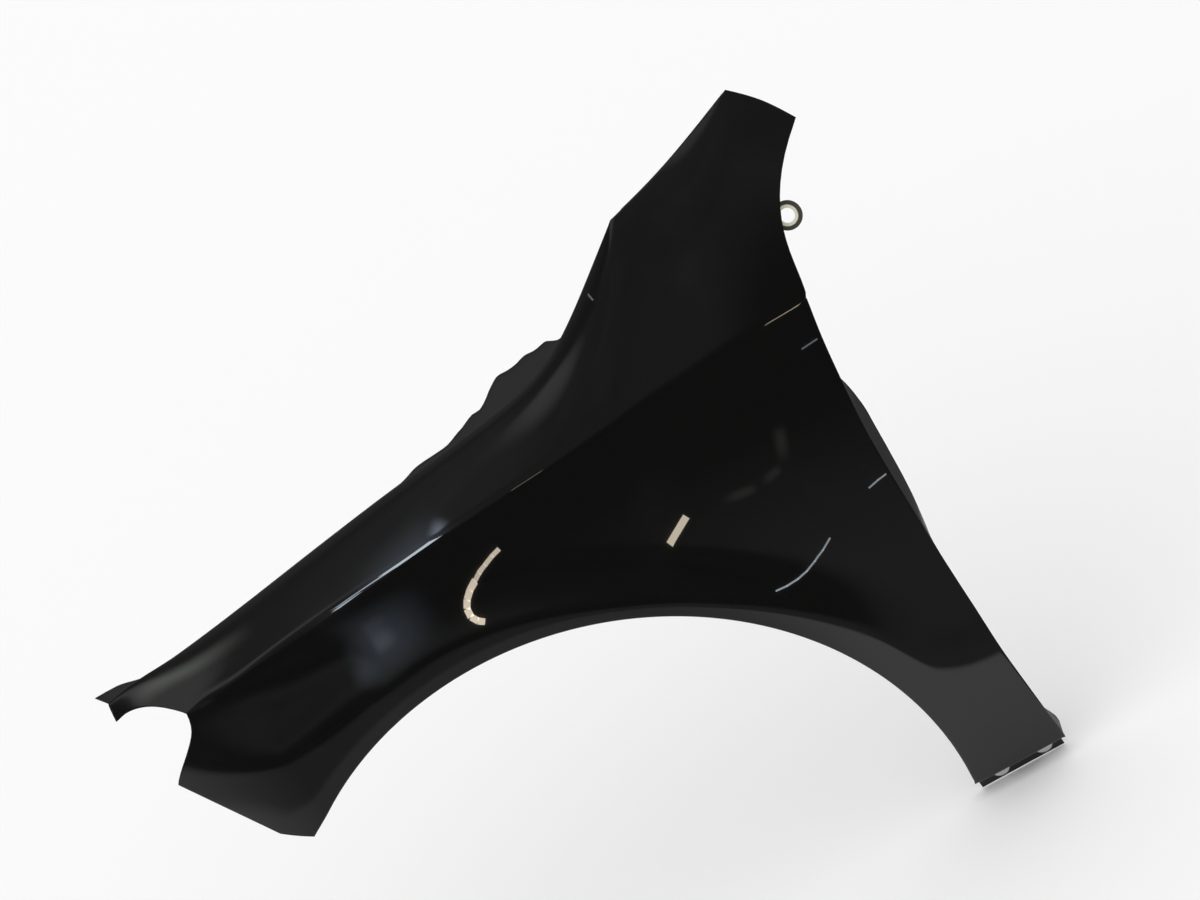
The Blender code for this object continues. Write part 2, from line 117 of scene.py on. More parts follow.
def natural_spline(knots, points, places):
    """Natural cubic spline through points at knots, read at places: on each span the two
    ends are mixed, and each end's bend adds (share^3 - share) times step^2 / 6."""
    knots = np.asarray(knots, float)
    points = np.asarray(points, float)
    steps = np.diff(knots)
    inner = np.arange(1, len(knots) - 1)
    matrix = np.eye(len(knots))
    matrix[inner, inner - 1] = steps[:-1]
    matrix[inner, inner] = 2 * (steps[:-1] + steps[1:])
    matrix[inner, inner + 1] = steps[1:]
    slopes = np.diff(points, axis=0) / steps[:, None]
    right = np.zeros_like(points)
    right[1:-1] = 6 * np.diff(slopes, axis=0)
    bends = np.linalg.solve(matrix, right)
    span = np.clip(np.searchsorted(knots, places, side="right") - 1, 0, len(steps) - 1)
    after = ((places - knots[span]) / steps[span])[:, None]
    before = 1 - after
    curve = (before ** 3 - before) * bends[span] + (after ** 3 - after) * bends[span + 1]
    return before * points[span] + after * points[span + 1] + curve * steps[span][:, None] ** 2 / 6


def at_shares(points, shares):
    """Points of the spline through points, at shares of the length of its chords."""
    points = np.asarray(points, float)
    chords = np.linalg.norm(np.diff(points, axis=0), axis=1)
    knots = np.concatenate(([0.0], np.cumsum(chords)))
    return natural_spline(knots, points, shares * knots[-1])


def band_width(around):
    """Width of the flared band at an angle round the arch: that of the crown, mixed with that
    of the legs by a smoothstep of the angle from the band's middle."""
    away = np.abs(around - BAND_MIDDLE_DEGREES)
    legs = smoothstep((away - BAND_EVEN_DEGREES) / BAND_GROWTH_DEGREES)
    return BAND_WIDTH_CROWN + (BAND_WIDTH_LEGS - BAND_WIDTH_CROWN) * legs


def side_depth(x, z):
    """How far inboard the side lies: a flat band at the lip, which wraps round the front
    corner, mixed with the body side, which leans in as z^2 and sweeps in to the nose. The
    mix is a smoothstep of the distance from the band times one of the height."""
    above_lip = np.hypot(x, z) - ARCH_RADIUS
    band = band_width(np.degrees(np.arctan2(z, x)))
    sweep = SWEEP * np.maximum(0.0, (SWEEP_START - x) / SWEEP_REACH) ** SWEEP_POWER
    roll = BAND_ROLL * (1 - np.clip(above_lip / band, 0.0, 1.0)) ** 2
    wrap = CORNER_WRAP * (np.maximum(0.0, CORNER_START - x) / CORNER_REACH) ** CORNER_POWER
    flare = BAND_SWEEP_SHARE * sweep + roll + wrap
    body = SIDE_SET + SIDE_LEAN * (np.maximum(z, 0.0) / LEAN_HEIGHT) ** 2 + sweep
    forward = smoothstep((STEP_FOOT_START - x) / STEP_FOOT_RUN)
    foot = STEP_FOOT_REAR + (STEP_FOOT_FRONT - STEP_FOOT_REAR) * forward
    step = sudden_step((above_lip - band) / SHOULDER_WIDTH)
    step = step * smoothstep((z - foot) / STEP_FOOT_HEIGHT)
    return flare * (1 - step) + body * step


def on_side(x, z):
    """Points of the side at places of the side view: x, side_depth of x and z, and z."""
    return np.stack((x, side_depth(x, z), z), axis=-1)


# ---- The shoulder, above the crease ------------------------------------------------------
# The upper surface between the crease and the bonnet. It runs out forwards in a thin strip
# over the headlamp, and rises at the rear in a tail that covers the foot of the pillar.
CROWN = 9 * MM
TAIL_WAIST = 24 * MM
TAIL_BULGE = 8 * MM
TAIL_POWER = 6
CROWN_POWER = 4
CROWN_PEAK_SHARE = 0.535
WAIST_POWER = 1.5
WAIST_PEAK_SHARE = 0.186
OUTLINE_CORNER_POWER = 5
STRIP_SHARES = ((-0.3860, 0.8400, 0.5215), (-0.3699, 0.7944, 0.5329), (-0.3376, 0.6667, 0.5421))
STATION_SHARES = (-0.3011, -0.1839, -0.0333, 0.1075, 0.2000, 0.2581, 0.3118,
                  0.3925, 0.4570, 0.4871, 0.5151)
TOP_SHARES = (
    (-0.3849, 0.9722, 0.5332), (-0.3602, 0.9556, 0.5400), (-0.3226, 0.9389, 0.5487),
    (-0.2817, 0.9222, 0.5579), (-0.1613, 0.8833, 0.5885), (-0.0054, 0.8222, 0.6305),
    (0.1323, 0.7778, 0.6618), (0.2258, 0.7778, 0.6987), (0.3032, 0.8333, 0.7645),
    (0.3624, 0.8667, 0.8237), (0.4409, 0.8917, 0.8526), (0.5441, 0.8667, 0.9118),
    (0.5753, 0.7333, 0.8908), (0.6011, 0.5889, 0.8632),
)
NOTCH_STATION = 3
SCREEN_STATION = 9
TAIL_STATION = 11
COLUMNS_BETWEEN_STATIONS = (6, 6, 8, 24, 28, 26, 22, 14, 10, 10, 14, 8, 8)
FOLD_RADIUS = 2.6 * MM
CREASE_RADIUS = 9 * MM
CREASE_OPENS = 30 * MM
# Rows beside a fold and beside the crease, in radii from it
FOLD_STEPS = np.array((0.0, 0.25, 0.5, 0.75, 1.0, 1.5))
CREASE_STEPS = np.array((0.0, 0.07, 0.14, 0.22, 0.32, 0.46, 0.62, 0.8, 1.0, 1.3))
SHOULDER_EVEN_ROWS = 14
SET_ROWS_LIMIT = 0.85


def unit(vectors):
    """Vectors divided by their lengths."""
    return vectors / np.linalg.norm(vectors, axis=-1, keepdims=True)


def cornered_spline(knots, points, corners, places):
    """Natural splines that meet, without a shared tangent, at the stations in corners."""
    result = np.empty((len(places), points.shape[1]))
    ends = [0, *corners, len(knots) - 1]
    for first, last in zip(ends[:-1], ends[1:]):
        inside = (places >= knots[first]) & (places <= knots[last])
        span = slice(first, last + 1)
        result[inside] = natural_spline(knots[span], points[span], places[inside])
    return result


def row_shares(lengths, near, far, even_rows):
    """Shares of each line at which its rows lie: set distances from its start and from its
    end, which shrink to a share of it on a short line, and even steps between them."""
    near = near * np.ones_like(lengths)
    far = far * np.ones_like(lengths)
    shrink = np.minimum(1.0, SET_ROWS_LIMIT * lengths / (near[-1] + far[0]))
    start = near * shrink / lengths
    end = 1 - far * shrink / lengths
    between = np.linspace(0.0, 1.0, even_rows + 1)[1:-1, None]
    return np.vstack((start, start[-1] + (end[0] - start[-1]) * between, end))


crease_shares = np.array(CREASE_SHARES) * (LENGTH, HEIGHT)
station_x = np.array(STATION_SHARES) * LENGTH
station_z = natural_spline(crease_shares[:, 0], crease_shares[:, 1:], station_x)[:, 0]
strip_low = np.array(STRIP_SHARES) * (LENGTH, DEPTH, HEIGHT)
low = np.vstack((strip_low, on_side(station_x, station_z)))
high = np.array(TOP_SHARES) * (LENGTH, DEPTH, HEIGHT)
low_steps = np.linalg.norm(np.diff(low, axis=0), axis=1)
high_steps = np.linalg.norm(np.diff(high, axis=0), axis=1)
knots = np.concatenate(([0.0], np.cumsum((low_steps + high_steps) / 2)))
spans = [np.linspace(knots[i], knots[i + 1], count, endpoint=False)
         for i, count in enumerate(COLUMNS_BETWEEN_STATIONS)]
edge_of_tail = knots[-1] - FOLD_RADIUS * FOLD_STEPS[::-1]
spans[-1] = spans[-1][spans[-1] < edge_of_tail[0] - FOLD_RADIUS]
places = np.concatenate((*spans, edge_of_tail))
crease_from = int(np.searchsorted(places, knots[NOTCH_STATION] - SHEET))
screen_from = int(np.searchsorted(places, knots[SCREEN_STATION] - SHEET))
tail_from = int(np.searchsorted(places, knots[TAIL_STATION] - SHEET))

# Each section rises from the low line to the high one, and is crowned square to its chord.
# The corners of the outline fade within the sheet, as (share of the way across)^5.
low_line = cornered_spline(knots, low, (NOTCH_STATION,), places)
high_line = cornered_spline(knots, high, (SCREEN_STATION, TAIL_STATION), places)
low_smooth = natural_spline(knots, low, places)
high_smooth = natural_spline(knots, high, places)
spread = np.linalg.norm(high_line - low_line, axis=1)
fold_out = (FOLD_RADIUS * FOLD_STEPS)[:, None]
crease_out = (CREASE_RADIUS * CREASE_STEPS)[:, None]
rise = row_shares(spread, crease_out, fold_out[::-1], SHOULDER_EVEN_ROWS)
t = rise[:, :, None]
bottom = low_smooth + (1 - t) ** OUTLINE_CORNER_POWER * (low_line - low_smooth)
top = high_smooth + t ** OUTLINE_CORNER_POWER * (high_line - high_smooth)
chord = top - bottom
outward = unit(np.stack((np.zeros_like(rise), -chord[:, :, 2], chord[:, :, 1]), axis=-1))
tail_share = (((places - knots[0]) / (knots[-1] - knots[0])) ** TAIL_POWER)[None, :, None]
crown = CROWN * (1 - tail_share) * t * (1 - t ** CROWN_POWER) / CROWN_PEAK_SHARE
waist = -TAIL_WAIST * tail_share * t ** WAIST_POWER * (1 - t) / WAIST_PEAK_SHARE
bulge = -TAIL_BULGE * tail_share * 4 * t * (1 - t)
shoulder = bottom + t * chord + crown * outward
shoulder = shoulder + waist * (1.0, 0.0, 0.0) + bulge * (0.0, 1.0, 0.0)

# The side below it: straight lines in the side view, fanned from the arch lip out to the
# notch beside the headlamp, the crease and the door edge, then lifted onto side_depth.
FRONT_SHARES = ((-0.2826, 0.3503), (-0.2948, 0.3665), (-0.3073, 0.3818), (-0.3200, 0.3963),
                (-0.3330, 0.4101), (-0.3461, 0.4232), (-0.3595, 0.4355))
NOTCH_SHARES = (
    (-0.3595, 0.4355), (-0.3378, 0.4739), (-0.3155, 0.5054),
    (-0.3048, 0.5231), (-0.3019, 0.5346), (-0.3011, 0.5408),
)
DOOR_SHARES = (
    (0.5151, 0.6757), (0.5054, 0.6171), (0.4978, 0.5579), (0.4892, 0.4842), (0.4839, 0.3974),
    (0.4806, 0.3158), (0.4774, 0.2118), (0.4755, 0.0900), (0.4762, 0.0000), (0.4767, -0.0700),
)
CHIN_SHARE = 0.4
NOTCH_SPREAD_DEGREES = 12.5
NOTCH_FOLD_SHARE = 0.026
CHIN_START_SHARE = 0.06
CHIN_COLUMNS = 7
LAMP_COLUMNS = 10
NOTCH_COLUMNS = np.concatenate((NOTCH_FOLD_SHARE * FOLD_STEPS,
                                np.linspace(CHIN_START_SHARE, CHIN_SHARE, CHIN_COLUMNS),
                                np.linspace(CHIN_SHARE, 1.0, LAMP_COLUMNS + 1)[1:]))
CHIN_COLUMN = len(FOLD_STEPS) + CHIN_COLUMNS - 1
DOOR_COLUMNS = 80
BAND_ROWS = 5
STEP_ROWS = 16
SIDE_EVEN_ROWS = 12

door_length = HEIGHT * (DOOR_SHARES[0][1] - DOOR_SHARES[-1][1])
door_places = np.linspace(0.0, 1 - 3 * FOLD_RADIUS / door_length, DOOR_COLUMNS)[1:]
sill_places = 1 - FOLD_STEPS[::-1] * FOLD_RADIUS / door_length
notch = at_shares(np.array(NOTCH_SHARES) * (LENGTH, HEIGHT), NOTCH_COLUMNS)
door_places = np.concatenate((door_places, sill_places))
door = at_shares(np.array(DOOR_SHARES) * (LENGTH, HEIGHT), door_places)
outer = np.vstack((notch[:-1], shoulder[0, crease_from:, ::2], door))
front = np.array(FRONT_SHARES) * (LENGTH, HEIGHT)
notch_end = len(notch) - 1
door_from = outer.shape[0] - len(door)
around = np.degrees(np.arctan2(outer[:, 1], outer[:, 0]))
lip_start = ARCH_FRONT_DEGREES - NOTCH_SPREAD_DEGREES * (1 - CHIN_SHARE)
degrees = lip_start + (ARCH_REAR_DEGREES - lip_start) * (
    (around - around[notch_end]) / (around[-1] - around[notch_end]))
past_chin = np.maximum(NOTCH_COLUMNS[:-1] - CHIN_SHARE, 0.0)
degrees[:notch_end] = ARCH_FRONT_DEGREES - NOTCH_SPREAD_DEGREES * past_chin
lip = ARCH_RADIUS * np.column_stack((np.cos(np.radians(degrees)), np.sin(np.radians(degrees))))
chin_share = np.minimum(NOTCH_COLUMNS[:CHIN_COLUMN + 1, None] / CHIN_SHARE, 1.0)
lip[:CHIN_COLUMN + 1] = front[0] + (lip[CHIN_COLUMN] - front[0]) * chin_share

band = band_width(degrees)
band_steps = np.arange(1, BAND_ROWS + 1)[:, None] / BAND_ROWS
band_out = fold_out[-1] + (band - fold_out[-1]) * band_steps
step_out = band + SHOULDER_WIDTH * np.arange(1, STEP_ROWS + 1)[:, None] / STEP_ROWS
near = np.vstack((fold_out * np.ones_like(band), band_out, step_out))
fan = row_shares(np.linalg.norm(outer - lip, axis=1), near, crease_out[::-1], SIDE_EVEN_ROWS)
plan = lip + fan[:, :, None] * (outer - lip)
bow = at_shares(front, fan[:, 0]) - plan[:, 0]
plan[:, :notch_end] += bow[:, None, :] * (1 - NOTCH_COLUMNS[None, :-1, None]) ** 2
side = on_side(plan[:, :, 0], plan[:, :, 1])
side[-1, notch_end:door_from] = shoulder[0, crease_from:]

# ---- The flanges -------------------------------------------------------------------------
# Every edge of the pressing is folded back in the last strokes: to stiffen it, to be clinched
# or to be bolted. The bends have the radius that such thin sheet takes in a flanging die.
ARCH_FLANGE = 20 * MM
HOOD_DROP = 12 * MM
HOOD_DROP_NOSE = 5 * MM
HOOD_LEDGE = 22 * MM
HOOD_SHELF = 61 * MM
HOOD_TIP = 18 * MM
HOOD_TIP_REACH = 4 * MM
LEDGE_FALL = 2 * MM
DOOR_FLANGE = 20 * MM
DOOR_LEAN = 6 * MM
DOOR_SWELL = 13 * MM
DOOR_LOBE = 8 * MM
TAIL_FLANGE = 13 * MM
TAIL_LEAN = 6 * MM
SCREEN_FLANGE = 14 * MM
SCREEN_FALL = 7 * MM
FRONT_FLANGE = 12 * MM
FRONT_LEAN = 4 * MM
CHIN_RISE = 3 * MM
LAMP_FLANGE = 10 * MM
LAMP_LEAN = 5 * MM
SILL_JOGGLE = 23 * MM
SILL_TAB = 20 * MM
SILL_GAP = 8 * MM
SHELF_SHARES = (
    (0.015, 0.0), (0.027, 0.12), (0.038, 0.14), (0.065, 0.1), (0.078, 0.1), (0.086, 0.22),
    (0.101, 0.30), (0.105, 0.41), (0.113, 0.45), (0.123, 0.36), (0.128, 0.44), (0.132, 0.63),
    (0.141, 0.76), (0.146, 0.92), (0.152, 0.93), (0.165, 0.84), (0.178, 0.81), (0.188, 0.85),
    (0.203, 0.67), (0.221, 0.57), (0.233, 0.23), (0.244, 0.02), (0.255, 0.0),
)
SWELL_SHARES = (
    (0.255, 0.0), (0.285, 0.35), (0.337, 0.75), (0.375, 0.90), (0.428, 1.0), (0.484, 1.0),
    (0.521, 0.6), (0.550, 0.0),
)
LOBE_SHARES = ((-0.074, 0.15), (-0.055, 1.0), (-0.045, 0.8), (-0.033, 0.0))
NOSE_START_SHARE = 0.335
NOSE_RUN_SHARE = 0.05
SOFTENING = 3
FLANGE_EVEN_ROWS = 5
FOLD_ROWS = len(FOLD_STEPS)


def bend_offset(arriving, leaving, distance, radius):
    """What rounds a fold: each point within radius of it moves towards the inside of the
    bend by radius / 4 * (1 - distance / radius)^2 times the change of direction."""
    pull = radius / 4 * np.clip(1 - distance / radius, 0.0, 1.0) ** 2
    return pull[..., None] * (leaving - arriving)


def folded(edge, arriving, *folds):
    """Rows of points that leave an edge by each fold in turn: the corner plus shares of the
    fold, plus the bend_offset of the corner before it and of the one after it."""
    rows = []
    corner = edge
    for number, fold in enumerate(folds):
        length = np.linalg.norm(fold, axis=-1)
        leaving = unit(fold)
        near = FOLD_RADIUS * FOLD_STEPS[:, None] * np.ones_like(length)
        last = number == len(folds) - 1
        far = np.zeros((1, len(length))) if last else near[::-1]
        shares = row_shares(length, near, far, FLANGE_EVEN_ROWS)
        points = corner + shares[:, :, None] * fold
        points = points + bend_offset(arriving, leaving, shares * length, FOLD_RADIUS)
        if not last:
            following = unit(folds[number + 1])
            points = points + bend_offset(leaving, following, (1 - shares) * length, FOLD_RADIUS)
            points = points[:-1]
        rows.append(points)
        corner = corner + fold
        arriving = leaving
    return np.concatenate(rows)


def flange(first, last, edge, arriving, *folds):
    """The folded rows of an edge from its point first up to its point last."""
    run = slice(first, last)
    return folded(edge[run], arriving[run], *(fold[run] for fold in folds))


def turned(edge, x, y, z):
    """The same fold at every point of an edge; each size may vary along it."""
    sizes = [np.broadcast_to(size, len(edge)) for size in (x, y, z)]
    return np.stack(sizes, axis=-1).astype(float)


def profile(where, table, place_unit, width):
    """Straight lines through a table of shares, softened by a moving mean."""
    points = np.array(table)
    value = np.interp(where, points[:, 0] * place_unit, points[:, 1] * width)
    padded = np.pad(value, SOFTENING // 2, mode="edge")
    return np.convolve(padded, np.ones(SOFTENING) / SOFTENING, mode="valid")


def point_at(edge, axis, value):
    """Point of an edge where one coordinate has a value; that coordinate rises along it."""
    return np.array([np.interp(value, edge[:, axis], edge[:, k]) for k in range(3)])


hood_line = high_line[:screen_from]
hood_x = hood_line[:, 0]
nose = smoothstep((-hood_x / LENGTH - NOSE_START_SHARE) / NOSE_RUN_SHARE)
hood_drop = HOOD_DROP + (HOOD_DROP_NOSE - HOOD_DROP) * nose
hood_width = HOOD_LEDGE + profile(hood_x, SHELF_SHARES, LENGTH, HOOD_SHELF) + HOOD_TIP / 2 * nose
tip = -HOOD_TIP * np.exp(-((places[:screen_from] - places[0]) / HOOD_TIP_REACH) ** 2)
hood_wall = turned(hood_x, 0.0, LEDGE_FALL, -hood_drop)
hood_ledge = turned(hood_x, tip, hood_width, -LEDGE_FALL)

tail_edge = shoulder[:, -1]
tail_rise = unit(tail_edge[-1] - tail_edge[0])
tail_inward = unit(np.cross(tail_rise, (1.0, 0.0, 0.0)))
door_edge = side[-1, door_from:]
swell = (profile(door_edge[::-1, 2], SWELL_SHARES, HEIGHT, DOOR_SWELL)
         + profile(door_edge[::-1, 2], LOBE_SHARES, HEIGHT, DOOR_LOBE))[::-1]
sill_edge = side[:, -1]
sill_run = np.linalg.norm(sill_edge - sill_edge[-1], axis=1)
sill_rows = int(np.sum(sill_run > SILL_GAP))
sill_wall = turned(sill_edge, 0.0, SILL_JOGGLE - sill_edge[:, 1], 0.0)
sill_tab = turned(sill_edge, 0.0, 0.0, -SILL_TAB)
lip_edge = side[0]
front_edge = side[:, 0]
notch_edge = side[-1, :notch_end + 1]
strip_edge = shoulder[0, :crease_from + 1]
hood_edge = shoulder[-1, :screen_from]
screen_edge = shoulder[-1, screen_from:tail_from + 1]

lip_in = unit(side[0] - side[1])
front_in = unit(side[:, 0] - side[:, 2])
sill_in = unit(side[:, -1] - side[:, -3])
outer_in = unit(side[-1] - side[-2])
low_in = unit(shoulder[0] - shoulder[1])
high_in = unit(shoulder[-1] - shoulder[-2])
screen_in = high_in[screen_from:tail_from + 1]
tail_in = unit(shoulder[:, -1] - shoulder[:, -3])

arch_fold = turned(lip_edge, 0.0, ARCH_FLANGE, 0.0)
chin_fold = turned(lip_edge, FRONT_LEAN, FRONT_FLANGE, CHIN_RISE)
front_fold = turned(front_edge, FRONT_LEAN, FRONT_FLANGE, 0.0)
notch_fold = turned(notch_edge, LAMP_LEAN, LAMP_FLANGE, 0.0)
door_fold = turned(door_edge, swell - DOOR_LEAN, DOOR_FLANGE, 0.0)
strip_fold = turned(strip_edge, LEDGE_FALL, LAMP_FLANGE, -LEDGE_FALL)
screen_fold = turned(screen_edge, LEDGE_FALL, SCREEN_FLANGE, -SCREEN_FALL)
tail_fold = turned(tail_edge, -TAIL_LEAN, *(TAIL_FLANGE * tail_inward[1:]))

# The bonnet flange and the door flange have the whole of their edges. The others stop a few
# points short of a corner, so that no two meet there.
flanges = [
    flange(CHIN_COLUMN, -FOLD_ROWS, lip_edge, lip_in, arch_fold),
    flange(0, CHIN_COLUMN - 1, lip_edge, lip_in, chin_fold),
    flange(FOLD_ROWS, -9, front_edge, front_in, front_fold),
    flange(FOLD_ROWS, -2, notch_edge, outer_in[:notch_end + 1], notch_fold),
    flange(1, -3, strip_edge, low_in[:crease_from + 1], strip_fold),
    flange(0, None, hood_edge, high_in[:screen_from], hood_wall, hood_ledge),
    flange(2, -1, screen_edge, screen_in, screen_fold),
    flange(0, None, door_edge, outer_in[door_from:], door_fold),
    flange(FOLD_ROWS, -4, tail_edge, tail_in, tail_fold),
    flange(0, sill_rows, sill_edge, sill_in, sill_wall, sill_tab),
]

# The skin is rounded where it meets the folds, and along the crease, whose two surfaces lean
# into each other over a wider bend that opens behind the notch.
opened = smoothstep((places - knots[NOTCH_STATION]) / CREASE_OPENS)
crease_radius = FOLD_RADIUS + (CREASE_RADIUS - FOLD_RADIUS) * opened
shoulder_low = np.linalg.norm(shoulder - shoulder[:1], axis=-1)
shoulder_high = np.linalg.norm(shoulder - shoulder[-1:], axis=-1)
shoulder_tail = np.linalg.norm(shoulder - shoulder[:, -1:], axis=-1)
side_low = np.linalg.norm(side - side[:1], axis=-1)
side_high = np.linalg.norm(side - side[-1:], axis=-1)
side_front = np.linalg.norm(side - side[:, :1], axis=-1)
side_sill = np.linalg.norm(side - side[:, -1:], axis=-1)

turn_screen = np.broadcast_to(screen_fold[0], (len(places) - screen_from, 3))
turn_high = np.vstack((unit(hood_wall), unit(turn_screen)))
turn_low = unit(np.broadcast_to(strip_fold[0], low_in.shape))
crease_in = np.array(low_in)
crease_in[:crease_from] = turn_low[:crease_from]
crease_in[crease_from:] = -outer_in[notch_end:door_from]
turn_outer = np.vstack((unit(notch_fold)[:-1], -low_in[crease_from:], unit(door_fold)))
outer_radius = np.full(side.shape[1], FOLD_RADIUS)
outer_radius[notch_end:door_from] = crease_radius[crease_from:]
turn_lip = np.vstack((unit(chin_fold)[:CHIN_COLUMN], unit(arch_fold)[CHIN_COLUMN:]))

shoulder_bends = (
    bend_offset(low_in, crease_in, shoulder_low, crease_radius[None, :])
    + bend_offset(high_in, turn_high, shoulder_high, FOLD_RADIUS)
    + bend_offset(tail_in[:, None, :], unit(tail_fold)[:, None, :], shoulder_tail, FOLD_RADIUS))
side_bends = (
    bend_offset(lip_in, turn_lip, side_low, FOLD_RADIUS)
    + bend_offset(outer_in, turn_outer, side_high, outer_radius[None, :])
    + bend_offset(front_in[:, None, :], unit(front_fold)[:, None, :], side_front, FOLD_RADIUS)
    + bend_offset(sill_in[:, None, :], unit(sill_wall)[:, None, :], side_sill, FOLD_RADIUS))
shoulder = shoulder + shoulder_bends
side = side + side_bends

# ---- The pressing in one sheet -----------------------------------------------------------
# Skin and flanges are one piece of steel, so they are joined, given the thickness of the
# sheet inwards, and joined to the round ear. Five bolt holes are pierced: two in the sill
# tab, two in the bonnet flange and one in the ear.
SILL_HOLE_RADIUS = 4.5 * MM
SILL_HOLE_PITCH = 48.5 * MM
SILL_HOLE_SETBACK = 25.5 * MM
SILL_HOLE_DROP = 9 * MM
HOOD_HOLE_RADIUS = 4.5 * MM
HOOD_HOLE_SHARES = (-0.345, -0.160)
EAR_RADIUS = 15 * MM
EAR_HOLE_RADIUS = 7.5 * MM
EAR_REACH = 10 * MM
EAR_THICKNESS = 1.6 * MM
EAR_HEIGHT = 588 * MM
CUT_DEPTH = 14 * MM
WELD = SHEET / 16
OUTBOARD_KINDS = 2
ROUND_SIDES = 64
SHARP_DEGREES = 35

sill_centres = []
for setback in (SILL_HOLE_SETBACK, SILL_HOLE_SETBACK + SILL_HOLE_PITCH):
    under = point_at(sill_edge, 0, sill_edge[0, 0] + setback)
    sill_centres.append(np.array((under[0], SILL_JOGGLE, under[2] - SILL_HOLE_DROP)))
datum = (sill_centres[0] + sill_centres[1]) / 2 + (0.0, SHEET, 0.0)

hood_centres = []
for share in HOOD_HOLE_SHARES:
    beside = point_at(hood_line, 0, share * LENGTH)
    half = np.interp(share * LENGTH, hood_x, hood_width) / 2
    hood_centres.append(beside + (0.0, LEDGE_FALL + half, -HOOD_DROP))
ear_centre = point_at(tail_edge, 2, EAR_HEIGHT) + tail_inward * TAIL_FLANGE
ear_centre = ear_centre + (EAR_REACH - TAIL_LEAN, 0.0, 0.0)


def sheet_object(name, grids, skin_grids):
    """Joins grids of points into one open sheet whose faces point outboard. Faces of the
    first skin_grids grids are numbered 0 and those of the flanges 1."""
    shape = bmesh.new()
    for number, grid in enumerate(grids):
        rows, columns = grid.shape[:2]
        block = bpy.data.meshes.new("block")
        index = np.arange(rows * columns).reshape(rows, columns)
        quads = np.stack((index[:-1, :-1], index[:-1, 1:], index[1:, 1:], index[1:, :-1]), axis=-1)
        block.from_pydata(grid.reshape(-1, 3), [], quads.reshape(-1, 4).tolist())
        kind = np.full(len(block.polygons), int(number >= skin_grids))
        block.materials.append(None)
        block.materials.append(None)
        block.polygons.foreach_set("material_index", kind)
        shape.from_mesh(block)
        bpy.data.meshes.remove(block)
    bmesh.ops.remove_doubles(shape, verts=shape.verts, dist=WELD)
    bmesh.ops.recalc_face_normals(shape, faces=shape.faces)
    if sum(face.normal.y * face.calc_area() for face in shape.faces) > 0:
        bmesh.ops.reverse_faces(shape, faces=shape.faces)
    mesh = bpy.data.meshes.new(name)
    shape.to_mesh(mesh)
    shape.free()
    item = bpy.data.objects.new(name, mesh)
    bpy.context.collection.objects.link(item)
    return item


def round_tool(name, radius, thickness, centre, axis):
    """Round plate about a centre, with its axis along a direction, numbered as a flange."""
    shape = bmesh.new()
    upright = Vector(axis).to_track_quat("Z", "Y").to_matrix().to_4x4()
    turn = Matrix.Translation(Vector(centre)) @ upright
    bmesh.ops.create_cone(shape, cap_ends=True, segments=ROUND_SIDES, radius1=radius,
                          radius2=radius, depth=thickness, matrix=turn)
    mesh = bpy.data.meshes.new(name)
    shape.to_mesh(mesh)
    shape.free()
    mesh.materials.append(None)
    mesh.materials.append(None)
    mesh.polygons.foreach_set("material_index", np.ones(len(mesh.polygons), int))
    item = bpy.data.objects.new(name, mesh)
    bpy.context.collection.objects.link(item)
    return item


def cut(piece, tool, operation):
    """Joins a tool to a piece, or takes it away."""
    step = piece.modifiers.new(tool.name, "BOOLEAN")
    step.object = tool
    step.operation = operation
    step.solver = "EXACT"


panel = sheet_object("fender_pressing", [grid - datum for grid in (side, shoulder, *flanges)], 2)
while len(panel.data.materials) < 2 * OUTBOARD_KINDS:
    panel.data.materials.append(None)
wall = panel.modifiers.new("sheet", "SOLIDIFY")
wall.thickness = SHEET
wall.offset = -1
wall.material_offset = OUTBOARD_KINDS
wall.material_offset_rim = 1
tools = [round_tool("ear", EAR_RADIUS, EAR_THICKNESS, ear_centre - datum, tail_inward),
         round_tool("ear_hole", EAR_HOLE_RADIUS, CUT_DEPTH, ear_centre - datum, tail_inward)]
for centre in sill_centres:
    tools.append(round_tool("sill_hole", SILL_HOLE_RADIUS, CUT_DEPTH, centre - datum, (0, 1, 0)))
for centre in hood_centres:
    tools.append(round_tool("hood_hole", HOOD_HOLE_RADIUS, CUT_DEPTH, centre - datum, (0, 0, 1)))
for number, tool in enumerate(tools):
    cut(panel, tool, "UNION" if number == 0 else "DIFFERENCE")
finished = panel.evaluated_get(bpy.context.evaluated_depsgraph_get())
whole = bpy.data.meshes.new_from_object(finished)
panel.modifiers.clear()
panel.data = whole
for tool in tools:
    bpy.data.objects.remove(tool)

# Faces are numbered: skin 0, flanges 1, and the inside of each OUTBOARD_KINDS higher. Which is
# which is kept as two shares at the points, for the paint.
kind = np.empty(len(whole.polygons), int)
whole.polygons.foreach_get("material_index", kind)
corner_vertex = np.empty(len(whole.loops), int)
whole.loops.foreach_get("vertex_index", corner_vertex)
corner_kind = np.repeat(kind, [face.loop_total for face in whole.polygons])
corners = np.bincount(corner_vertex, minlength=len(whole.vertices))
for name, chosen in (("skin_share", corner_kind == 0),
                     ("outboard_share", corner_kind < OUTBOARD_KINDS)):
    total = np.bincount(corner_vertex, weights=chosen.astype(float), minlength=len(whole.vertices))
    point_share = whole.attributes.new(name, "FLOAT", "POINT")
    point_share.data.foreach_set("value", total / np.maximum(corners, 1))
whole.polygons.foreach_set("material_index", np.zeros(len(kind), int))
whole.polygons.foreach_set("use_smooth", np.ones(len(kind), bool))
whole.set_sharp_from_angle(angle=np.radians(SHARP_DEGREES))

